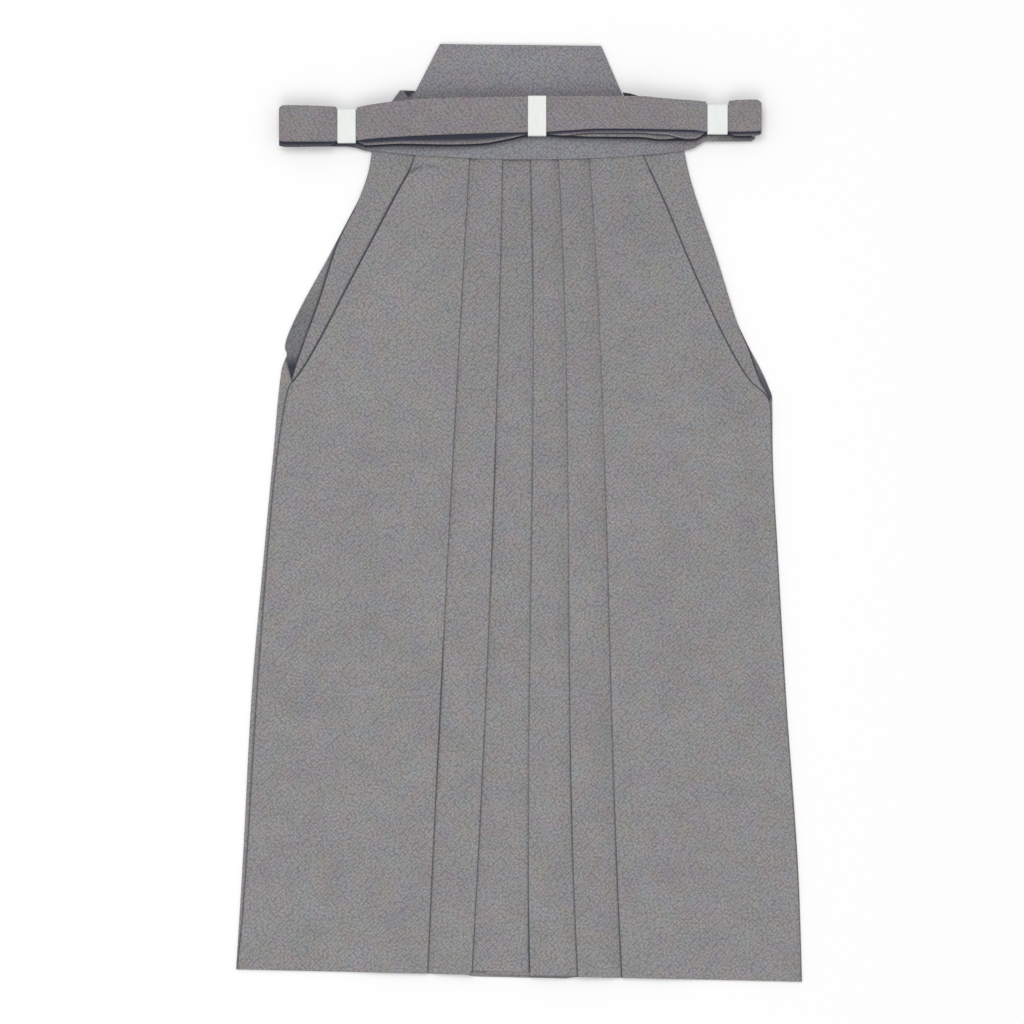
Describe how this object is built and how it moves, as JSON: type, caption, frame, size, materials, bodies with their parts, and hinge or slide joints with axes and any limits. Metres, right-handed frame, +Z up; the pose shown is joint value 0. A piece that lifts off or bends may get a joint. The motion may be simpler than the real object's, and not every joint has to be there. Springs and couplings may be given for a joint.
{
  "type": "pleated hakama trousers",
  "caption": "Pleated wide-legged hakama trousers laid flat, with a stiff back board, leaf pleats in open side vents, and flat ties folded across the waist in plain white bands.",
  "frame": {"origin": "middle of the footprint, on the surface that the trousers lie on", "axes": "+Y from the hem to the waist, +X to the viewer's right (the wearer's left), +Z up out of the front of the trousers"},
  "size_m": [0.5884, 0.975, 0.021],
  "materials": {
    "grey_cloth": "matt heathered twill",
    "board_cloth": "matt heathered twill over a stiff board",
    "tie_cloth": "matt heathered twill, folded and pressed",
    "white_band": "smooth off-white paper tape"
  },
  "bodies": {
    "root": {"front_right_leg": "grey_cloth", "front_left_leg": "grey_cloth", "back_right_leg": "grey_cloth", "back_left_leg": "grey_cloth", "leaf_pleat_right": "grey_cloth", "leaf_pleat_left": "grey_cloth", "back_board": "board_cloth", "front_waistband": "tie_cloth", "front_tie_right": "tie_cloth", "front_tie_left": "tie_cloth", "back_tie_right": "tie_cloth", "back_tie_left": "tie_cloth", "band_right": "white_band", "band_middle": "white_band", "band_left": "white_band"}
  },
  "joints": []
}
